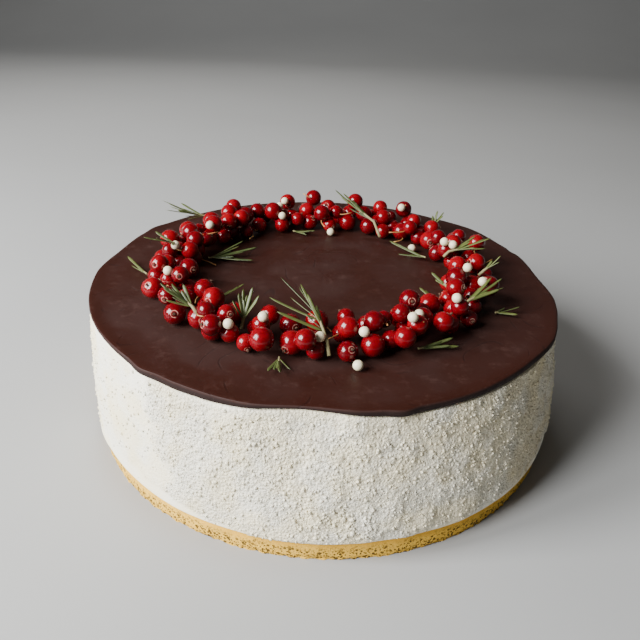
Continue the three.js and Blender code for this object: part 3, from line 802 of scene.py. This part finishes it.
berry_parts, berry_tones, berry_poles, berry_turns, flowers = [], [], [], [], []
ring_angle = np.linspace(0, 2 * math.pi, BERRY_AROUND, endpoint=False)
for x, y, z, radius in berries:
    axis = flower_side(x, y)
    side, other = any_frame(axis)
    tone = next(throw)
    flowers.append((np.array([x, y, z]), axis, radius))
    fall = np.linspace(0.10, math.pi - 0.05, BERRY_ROWS)[:, None]
    dent = 1 - 0.035 * np.exp(-(fall / 0.35) ** 2) - 0.02 * np.cos(fall) ** 2
    ribs = 1 + 0.006 * np.cos(ring_angle * 6 + 6 * tone) * np.sin(fall)
    reach = radius * 0.998 * dent * ribs / 1.006
    shell = (np.cos(fall) * reach)[..., None] * axis
    shell = shell + (np.sin(fall) * reach * np.cos(ring_angle))[..., None] * side
    shell = shell + (np.sin(fall) * reach * np.sin(ring_angle))[..., None] * other
    berry_parts.append(turned(shell[::-1] + (x, y, z)))
    berry_tones.append(np.full(len(berry_parts[-1][0]), tone))
    poles = np.broadcast_to(fall, shell.shape[:2])[::-1].ravel() / math.pi
    berry_poles.append(np.concatenate([poles, [1, 0]]))
    turns = np.broadcast_to(ring_angle, shell.shape[:2]).ravel()
    berry_turns.append(np.concatenate([turns, [0, 0]]))
veins_value = 0.5 + 0.5 * np.cos(np.concatenate(berry_turns) * VEINS)
print("each currant has", len(berry_parts[0][0]), "points")

# %% [markdown]
# A currant is a clear skin over pulp and seeds, so its red is deep and light comes out at its side.
# Transmission would need the pulp and the seeds inside, while subsurface scattering gives much the
# same glow in a solid ball. The red has almost no green in it, because the tone curve of a render
# pulls bright reds towards orange. A torn pale ring surrounds the flower, and the middle of the
# ring is dark.

# %% The finish of the currants
skin = Finish("currant_clear_red_skin")
tone, pole = skin.value("tone"), skin.value("pole")
pulp = skin.noise(3.2, 3)
veins = skin.value("veins").between(0.80, 1.0) * pole.between(0.06, 0.3) * pole.between(1.0, 0.8)
red = skin.mix(tone, (0.085, 0.0001, 0.0026), (0.215, 0.0002, 0.0046))
red = skin.mix(pulp.between(0.35, 0.65) * 0.3, red, (0.05, 0.0001, 0.0016))
red = skin.mix(veins * 0.08, red, (0.34, 0.010, 0.008))
torn = 0.012 * (skin.noise(0.8, 2) - 0.5)
ring = (pole + torn).between(0.122, 0.110) * (pole - torn).between(0.088, 0.100)
ring = ring * skin.noise(1.2, 2).between(0.36, 0.50)
red = skin.mix(ring * 0.75, red, (0.60, 0.30, 0.23))
red = skin.mix(pole.between(0.065, 0.050) * 0.9, red, (0.035, 0.008, 0.005))
skin.set(Base_Color=red, Roughness=0.15 + 0.08 * skin.noise(2.2, 2), IOR=1.38,
         Subsurface_Weight=0.55, Subsurface_Radius=(0.006, 0.0009, 0.0006), Subsurface_Scale=0.8,
         Coat_Weight=0.15, Coat_Roughness=0.04,
         Normal=skin.relief(skin.noise(1.5, 2), 0.12, 0.25))
lay_on_top("red_currants", berry_parts, skin, ["currant_wreath"],
           {"tone": np.concatenate(berry_tones), "pole": np.concatenate(berry_poles),
            "veins": veins_value})

# %% [markdown]
# The dried flower on the end of each currant is a small tuft of five petals, crumpled and a little
# open. Thin stalks come out between the berries where a string of them was broken up, and one that
# would leave the wreath is dropped. Bevelled curves could draw them, but would have to be turned
# into meshes first, so `tube` lofts a round section along a few points.

# %% Dried flowers and stalks
PETALS, HIGHEST_STALK = 5, 89.5


def tube(path, radii, around):
    path = np.asarray(path, float)
    ahead = np.gradient(path, axis=0)
    ahead = ahead / np.linalg.norm(ahead, axis=1)[:, None]
    side, other = any_frame(ahead[0])
    rings = []
    for point, way, radius in zip(path, ahead, radii):
        side = side - way * side.dot(way)
        side = side / np.linalg.norm(side)
        other = np.cross(way, side)
        angle = np.linspace(0, 2 * math.pi, around, endpoint=False)[:, None]
        rings.append(point + radius * (np.cos(angle) * side + np.sin(angle) * other))
    return turned(np.array(rings))


tufts, stalks = [], []
for centre, axis, radius in flowers:
    base = centre + axis * radius * 0.93
    side, other = any_frame(axis)
    for petal in range(PETALS):
        angle = 2 * math.pi * (petal + 0.5 * next(throw)) / PETALS
        out = math.cos(angle) * side + math.sin(angle) * other
        reach = 0.5 + 0.5 * next(throw)
        path = [base, base + axis * 0.45 * reach + out * 0.35,
                base + axis * 0.75 * reach + out * 0.55 * reach,
                base + axis * (0.9 + 0.5 * next(throw)) * reach + out * 0.3]
        tufts.append(tube(path, [0.34, 0.28, 0.18, 0.07], 6))
    if next(throw) < 0.32:
        foot = centre - axis * radius * 0.97
        swing = np.array([next(throw) - 0.5, next(throw) - 0.5, 0.25 * next(throw) - 0.1])
        path = [foot - axis * 2.2 * t + swing * 5 * t * t for t in np.linspace(0, 1.6, 7)]
        heights = [point[2] for point in path]
        if max(heights) < HIGHEST_STALK and min(heights) > BERRY_FLOOR:
            stalks.append(tube(path, np.linspace(0.2, 0.3, 7), 7))
print(len(tufts), "petals and", len(stalks), "stalks")

# %% [markdown]
# Dried petals are dark brown and rough, and the stalks are pale green, turning to red here and
# there. They are so small that fibres would be lost, so a noise between two colours and a fine bump
# are enough.

# %% The finish of flowers and stalks
dried = Finish("dried_flower_brown")
dried.set(Base_Color=dried.mix(dried.noise(0.8, 3), (0.030, 0.012, 0.007), (0.13, 0.06, 0.03)),
          Roughness=0.75 + 0.15 * dried.noise(0.6, 2),
          Normal=dried.relief(dried.noise(0.4, 3), 0.2, 0.7))
lay_on_top("currant_dried_flowers", tufts, dried)

stalk = Finish("currant_stalk_green")
shade = stalk.mix(stalk.noise(6, 2), (0.30, 0.26, 0.055), (0.42, 0.10, 0.05))
stalk.set(Base_Color=shade, Roughness=0.45 + 0.15 * stalk.noise(1, 2),
          Normal=stalk.relief(stalk.noise(0.5, 3), 0.15, 0.6))
lay_on_top("currant_stalks", stalks, stalk)

# %% [markdown]
# Sugar pearls are hard balls with a dull polish. They come out of a rolling drum, so none is quite
# round and the coat has fine scratches. A perfect sphere with a smooth coat would look like a
# bearing ball, so each one is squeezed a little as it is drawn. Their white is a little warmer than
# the souffle's.

# %% The sugar pearls
pearl_parts = []
angle = np.linspace(0, 2 * math.pi, 36, endpoint=False)
fall = np.linspace(math.pi - 0.04, 0.04, 24)[:, None]
for x, y, z, radius in pearls:
    phase = 6 * next(throw)
    reach = radius * (0.992 - 0.008 * np.cos(2 * angle + phase) * np.sin(fall))
    shell = np.stack([reach * np.sin(fall) * np.cos(angle), reach * np.sin(fall) * np.sin(angle),
                      reach * np.cos(fall) * np.ones_like(angle)], -1)
    pearl_parts.append(turned(shell + (x, y, z)))
sugar = Finish("sugar_pearl_coat")
sugar.set(Base_Color=sugar.mix(sugar.noise(3, 2), (0.60, 0.52, 0.35), (0.72, 0.64, 0.46)),
          Roughness=0.34 + 0.16 * sugar.noise(1.2, 4),
          Subsurface_Weight=0.2, Subsurface_Radius=(0.002, 0.0018, 0.0014),
          Normal=sugar.relief(sugar.noise(0.5, 4), 0.12, 0.4))
lay_on_top("sugar_pearls", pearl_parts, sugar,
           [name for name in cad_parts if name.startswith("sugar_pearl")])

# %% [markdown]
# A rosemary needle is a narrow leaf with its two edges rolled under and a groove down the middle. A
# flat strip would do from afar, but groove and edges catch the light. So each one is a loft: the
# same eight-sided section, scaled along a line that bends a little, blunt at the tip. A number for
# each corner of the section says how much of it is underside.

# %% One needle
NEEDLE_STEPS, NEEDLE_WIDTH, NEEDLE_FLATNESS = 13, 0.74, 0.62
SECTION = np.array([(-1.0, -0.10), (-0.62, 0.42), (0.0, 0.24), (0.62, 0.42), (1.0, -0.10),
                    (0.55, -0.42), (0.0, -0.16), (-0.55, -0.42)])
SECTION_UNDER = np.array([0.35, 0, 0.25, 0, 0.35, 1, 0.8, 1])


def needle(foot, heading, rise, long, width, bend, roll):
    steps = np.linspace(0, 1, NEEDLE_STEPS)
    ahead = direction(heading, rise)
    side = np.cross((0, 0, 1), ahead)
    side = side / np.linalg.norm(side)
    over = np.cross(ahead, side)
    side, over = (math.cos(roll) * side + math.sin(roll) * over,
                  math.cos(roll) * over - math.sin(roll) * side)
    swing = bend * long * steps * (steps - 1)
    line = foot + ahead * (long * steps)[:, None] + over * swing[:, None]
    taper = np.clip(np.minimum(0.45 + steps / 0.25, np.sqrt(np.clip((1 - steps) / 0.16, 0, 1))),
                    0.12, 1)
    rings = []
    for point, scale in zip(line, taper * width):
        flat = SECTION[:, :1] * side + SECTION[:, 1:] * NEEDLE_FLATNESS * over
        rings.append(point + flat * scale)
    return turned(np.array(rings)[:, ::-1])


print("a needle has", len(needle(np.zeros(3), 0, 0, 10, NEEDLE_WIDTH, 0, 0)[0]), "points")

# %% [markdown]
# Between the main needles of a sprig come shorter ones, as they do on the plant, close to the stem.
# A particle system could hang them on it, but has no say in where each one points. A sprig that
# stands among the currants gets a longer stem, which goes down between them until it nearly meets
# the chocolate. Young sprigs are lighter.

# %% Sprigs of needles
throw = repeatable(90210)
needle_parts, stems, tones, unders = [], [], [], []
for sprig, (fork, along, leaves) in zip(SPRIGS, layouts):
    ahead, stem = sprig[3], sprig[5]
    young = next(throw)
    all_leaves = [(foot, heading, rise, long, 1.0) for foot, heading, rise, long in leaves]
    for foot, heading, rise, long in leaves:
        turn = heading + 16 * (next(throw) - 0.5)
        if long > 10:
            inner = ahead + 0.55 * turn_between(turn, ahead)
            all_leaves.append((foot + along * 0.7, inner, rise + 5 * (next(throw) - 0.3),
                               long * (0.5 + 0.3 * next(throw)), 0.8))
    for foot, heading, rise, long, thick in all_leaves:
        width = NEEDLE_WIDTH * thick * (0.85 + 0.15 * next(throw))
        bend = 0.10 * (next(throw) - 0.35)
        part = needle(foot, heading, rise, long, width, bend, 1.1 * (next(throw) - 0.5))
        needle_parts.append(part)
        tones.append(np.full(len(part[0]), 0.6 * young + 0.4 * next(throw)))
        unders.append(np.concatenate([np.tile(SECTION_UNDER[::-1], NEEDLE_STEPS), [0.5, 0.5]]))
    down = -direction(ahead, 50) * 9
    hidden = (1.0, 0.66, 0.33) if stem > 5 else (0.4, 0.2)
    low = [fork + down * t for t in hidden] if sprig[2] > 5 else []
    low = [point for point in low if point[2] > BERRY_FLOOR + 1]
    path = low + [fork + along * stem * t for t in (0, 0.25, 0.5, 0.75, 1.0)]
    thickness = (0.8 if sprig[2] > 5 else 0.5) * np.linspace(1.0, 0.6, len(path))
    stems.append(tube(path, thickness, 10))
print(len(needle_parts), "needles on", len(stems), "stems")

# %% [markdown]
# The top of a needle is dark green and a little shiny, its underside pale and felted. They could be
# two materials, but the edges roll softly from one to the other, so the number for the underside
# mixes two greens. The stems are brownish green and fibrous.

# %% The finish of the rosemary
leaf = Finish("rosemary_leaf")
tone, under = leaf.value("tone"), leaf.value("under")
patch = leaf.noise(4, 3)
green = leaf.mix(tone, (0.012, 0.026, 0.004), (0.085, 0.102, 0.017))
green = leaf.mix(patch.between(0.5, 0.75) * 0.4, green, (0.12, 0.12, 0.026))
green = leaf.mix(under * 0.7, green, (0.18, 0.195, 0.09))
leaf.set(Base_Color=green, Roughness=0.38 + 0.3 * under + 0.08 * patch,
         Normal=leaf.relief(leaf.noise(0.45, 3), 0.12, 0.5))
lay_on_top("rosemary_needles", needle_parts, leaf,
           ["rosemary_sprig_%02d" % (n + 1) for n in range(len(SPRIGS))],
           {"tone": np.concatenate(tones), "under": np.concatenate(unders)})

wood = Finish("rosemary_stem")
bark = wood.mix(wood.noise(2.5, 4), (0.13, 0.105, 0.040), (0.26, 0.23, 0.11))
wood.set(Base_Color=bark, Roughness=0.7 + 0.1 * wood.noise(1, 2),
         Normal=wood.relief(wood.noise(0.5, 4), 0.25, 0.8))
lay_on_top("rosemary_stems", stems, wood)

# %% [markdown]
# ## Floor, light and camera
# The cake stands on a plain pale floor. A flat plane would end in a hard line behind it, so the
# floor bends up far behind the cake and no horizon shows. It is a strip that follows a side view,
# and is given in metres, as the lamps are.

# %% Floor
FLAT_FROM, FLAT_UNTIL, BEND, WALL_TOP, HALF_WIDTH = -8, 1.3, 1.2, 4, 12
profile = [(FLAT_FROM, 0), (0, 0)]
for t in np.linspace(0, math.pi / 2, 25):
    profile.append((FLAT_UNTIL + BEND * math.sin(t), BEND * (1 - math.cos(t))))
profile.append((FLAT_UNTIL + BEND, WALL_TOP))
corners = [(x, y, z) for y, z in profile for x in (-HALF_WIDTH, HALF_WIDTH)]
strips = [(2 * n, 2 * n + 1, 2 * n + 3, 2 * n + 2) for n in range(len(profile) - 1)]
floor_mesh = bpy.data.meshes.new("floor")
floor_mesh.from_pydata(corners, [], strips)
floor_mesh.shade_smooth()
floor_finish = Finish("pale_floor")
pale = floor_finish.mix(floor_finish.noise(300, 2), (0.27, 0.27, 0.265), (0.31, 0.31, 0.305))
floor_finish.set(Base_Color=pale, Roughness=0.8)
floor_mesh.materials.append(floor_finish.material)
floor = bpy.data.objects.new("floor", floor_mesh)
bpy.context.scene.collection.objects.link(floor)
print("the floor has", len(strips), "strips")

# %% [markdown]
# Soft light comes from a window with two panes. It stands to the left and a little in front, low
# enough to light the side of the cake. A small lamp would be simpler, but its shadows are hard, and
# two large rectangles give soft ones. A weak lamp stands behind the cake, kept out of the
# chocolate's shine, and the world gives the light in the shade. Every lamp looks at the cake.

# %% Light
WINDOW, ALONG_WINDOW, HALF_STEP = Vector((-0.80, -0.46, 0.62)), Vector((-0.50, 0.87, 0)), 0.19
DAYLIGHT, WARM_LIGHT = (0.98, 0.99, 1.0), (1.0, 0.97, 0.93)


def lamp(name, place, size, power, colour):
    light = bpy.data.lights.new(name, "AREA")
    light.shape, light.size, light.size_y = "RECTANGLE", size[0], size[1]
    light.energy, light.color = power, colour
    lamp_object = bpy.data.objects.new(name, light)
    lamp_object.location = place
    aim = Vector((0, 0, 0.04)) - place
    lamp_object.rotation_euler = aim.to_track_quat("-Z", "Y").to_euler()
    bpy.context.scene.collection.objects.link(lamp_object)
    return lamp_object


lamp("left_pane", WINDOW - HALF_STEP * ALONG_WINDOW, (0.30, 0.62), 29, DAYLIGHT)
lamp("right_pane", WINDOW + HALF_STEP * ALONG_WINDOW, (0.30, 0.62), 29, DAYLIGHT)
behind = lamp("behind", Vector((-0.30, 0.90, 0.80)), (0.8, 0.6), 6, WARM_LIGHT)
behind.visible_glossy = False
world = bpy.data.worlds.new("studio")
world.use_nodes = True
sky = world.node_tree.nodes["Background"].inputs
sky["Color"].default_value, sky["Strength"].default_value = (*WARM_LIGHT, 1), 0.11
bpy.context.scene.world = world
print("light in all:", sum(light.energy for light in bpy.data.lights), "W")

# %% [markdown]
# The camera looks down at the cake at 29 degrees. A Track To constraint would point it there, but
# would also keep it level, and this one is held at a slight slant. So it is built from its pitch,
# its small turn and its roll. Two small shifts put its axis in its place.

# %% Camera
PITCH, YAW, ROLL = math.radians(28.78), math.radians(0.5), math.radians(2.29)
CAMERA_PLACE = Vector((-0.82, -285.07, 203.14)) * MM
FOCAL_PIXELS, PICTURE, AXIS_ACROSS, AXIS_DOWN, SENSOR = 640.65, 640, 319.3, 315.6, 36
ahead = Vector((0, math.cos(PITCH), -math.sin(PITCH)))
upward = Vector((0, math.sin(PITCH), math.cos(PITCH)))
right = Vector((1, 0, 0))
spin = Matrix.Rotation(YAW, 3, "Z")
ahead, upward, right = spin @ ahead, spin @ upward, spin @ right
right, upward = (right * math.cos(ROLL) + upward * math.sin(ROLL),
                 upward * math.cos(ROLL) - right * math.sin(ROLL))
camera_data = bpy.data.cameras.new("camera")
camera_data.sensor_width = SENSOR
camera_data.lens = SENSOR * FOCAL_PIXELS / PICTURE
camera_data.shift_x = (PICTURE / 2 - AXIS_ACROSS) / PICTURE
camera_data.shift_y = (AXIS_DOWN - PICTURE / 2) / PICTURE
camera_data.clip_start = 0.01
camera = bpy.data.objects.new("camera", camera_data)
turn_matrix = Matrix((right, upward, -ahead)).transposed()
camera.matrix_world = Matrix.Translation(CAMERA_PLACE) @ turn_matrix.to_4x4()
bpy.context.scene.collection.objects.link(camera)
bpy.context.scene.camera = camera
print("the lens is", round(camera_data.lens, 2), "mm long")

# %% [markdown]
# The crumbs of the finished cake stand about a millimetre proud of the box of the solids.
